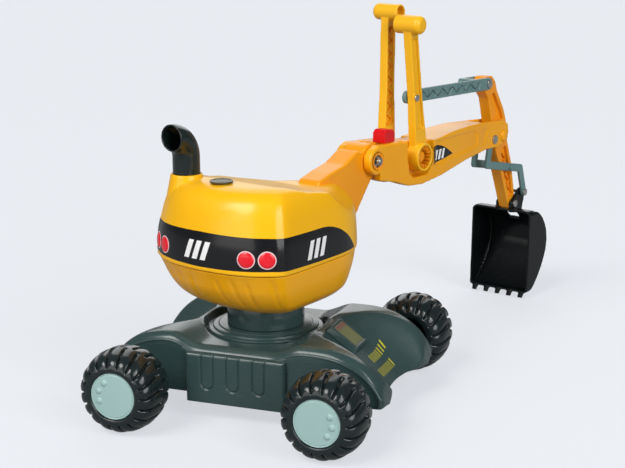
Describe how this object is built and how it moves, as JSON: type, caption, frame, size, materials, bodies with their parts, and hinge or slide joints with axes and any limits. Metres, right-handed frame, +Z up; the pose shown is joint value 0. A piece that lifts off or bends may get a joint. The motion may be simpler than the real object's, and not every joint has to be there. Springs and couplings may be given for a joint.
{
  "type": "ride on digger",
  "caption": "Child's ride-on digger: four-wheeled base, slewing seat body, lifting boom, and a lever that works the stick and tips the bucket through links.",
  "frame": {"origin": "on the floor under the slew axis", "axes": "+X the way the base rolls forward, +Y to its left, +Z up; at rest the body is slewed 73.5 degrees towards +Y"},
  "size_m": [0.4282, 0.8858, 0.506],
  "materials": {
    "tyre": "gloss, blow-moulded",
    "hub_cap": "satin",
    "base": "gloss",
    "label_block": "gloss",
    "steel": "zinc plated",
    "body_yellow": "gloss",
    "lever_yellow": "gloss",
    "stick_orange": "gloss",
    "link_grey": "gloss",
    "bucket_black": "gloss",
    "pipe_black": "gloss",
    "badge_dark": "matte",
    "lock_red": "gloss"
  },
  "bodies": {
    "chassis": {"chassis_shell": "base", "underplate": "base", "underplate_screws": "steel", "nose_plate": "label_block", "slew_ring": "base", "slew_spindle": "steel", "slew_nut": "steel", "slew_washer": "steel", "front_axle": "steel", "rear_axle": "steel", "wheel_spacers": "base", "axle_push_nuts": "steel"},
    "wheel_front_right": {"wheel_front_right": "tyre", "hub_cap_front_right": "hub_cap"},
    "wheel_front_left": {"wheel_front_left": "tyre", "hub_cap_front_left": "hub_cap"},
    "wheel_rear_right": {"wheel_rear_right": "tyre", "hub_cap_rear_right": "hub_cap"},
    "wheel_rear_left": {"wheel_rear_left": "tyre", "hub_cap_rear_left": "hub_cap"},
    "upper_body": {"slew_collar": "base", "collar_screws": "steel", "body_lower_shell": "body_yellow", "body_upper_shell": "body_yellow", "mast": "body_yellow", "exhaust_pipe": "pipe_black", "seat_badge": "badge_dark"},
    "boom": {"boom": "body_yellow", "boom_pivot_bolt": "steel", "boom_pivot_nut": "steel", "left_lever": "lever_yellow", "lever_pivot_bolt": "steel", "lever_pivot_nut": "steel", "stick_pivot_bolt": "steel", "bar_pivot_bolt": "steel"},
    "right_lever": {"right_lever": "lever_yellow", "link_rear_rivet": "steel"},
    "link": {"link": "link_grey"},
    "stick": {"stick": "stick_orange", "link_front_rivet": "steel"},
    "tipping_bars": {"near_tipping_bar": "link_grey", "far_tipping_bar": "link_grey"},
    "bucket": {"bucket": "bucket_black", "bucket_bolt": "steel", "bucket_bolt_nut": "steel", "ear_rivet": "steel"},
    "red_lock": {"red_lock": "lock_red"}
  },
  "joints": [
    {"name": "slew", "type": "hinge", "parent": "chassis", "child": "upper_body", "pos_m": [0, 0, 0.106], "axis": [0, 0, 1], "continuous": true},
    {"name": "wheel_front_right_spin", "type": "hinge", "parent": "chassis", "child": "wheel_front_right", "pos_m": [0.153, -0.18, 0.055], "axis": [0, 1, 0], "continuous": true},
    {"name": "wheel_front_left_spin", "type": "hinge", "parent": "chassis", "child": "wheel_front_left", "pos_m": [0.153, 0.18, 0.055], "axis": [0, 1, 0], "continuous": true},
    {"name": "wheel_rear_right_spin", "type": "hinge", "parent": "chassis", "child": "wheel_rear_right", "pos_m": [-0.121, -0.18, 0.055], "axis": [0, 1, 0], "continuous": true},
    {"name": "wheel_rear_left_spin", "type": "hinge", "parent": "chassis", "child": "wheel_rear_left", "pos_m": [-0.121, 0.18, 0.055], "axis": [0, 1, 0], "continuous": true},
    {"name": "boom_pitch", "type": "hinge", "parent": "upper_body", "child": "boom", "pos_m": [0.06191, 0.20902, 0.294], "axis": [0.9588, -0.284, 0], "range_deg": [0, 38]},
    {"name": "lever_swing", "type": "hinge", "parent": "boom", "child": "right_lever", "pos_m": [0.09373, 0.31641, 0.283], "axis": [0.9588, -0.284, 0], "range_deg": [-10, 20]},
    {"name": "link_swing", "type": "hinge", "parent": "right_lever", "child": "link", "pos_m": [0.09003, 0.30395, 0.372], "axis": [0.9588, -0.284, 0], "range_deg": [-23.07, 11.64]},
    {"name": "stick_swing", "type": "hinge", "parent": "boom", "child": "stick", "pos_m": [0.16757, 0.5657, 0.276], "axis": [0.9588, -0.284, 0], "range_deg": [-10.77, 21.33]},
    {"name": "tipping_bars_swing", "type": "hinge", "parent": "boom", "child": "tipping_bars", "pos_m": [0.15933, 0.5379, 0.274], "axis": [0.9588, -0.284, 0], "range_deg": [-9.39, 18.58]},
    {"name": "bucket_tip", "type": "hinge", "parent": "stick", "child": "bucket", "pos_m": [0.18177, 0.61364, 0.154], "axis": [0.9588, -0.284, 0], "range_deg": [-7.42, 14.63]},
    {"name": "lock_slide", "type": "slide", "parent": "boom", "child": "red_lock", "axis": [0.284, 0.9588, 0], "range_m": [0, 0.008]}
  ],
  "couplings": [
    {"joint": "link_swing", "follows": "lever_swing", "ratio": -1.1437},
    {"joint": "stick_swing", "follows": "lever_swing", "ratio": 1.0567},
    {"joint": "bucket_tip", "follows": "lever_swing", "ratio": 0.72168},
    {"joint": "tipping_bars_swing", "follows": "lever_swing", "ratio": 0.91883}
  ]
}
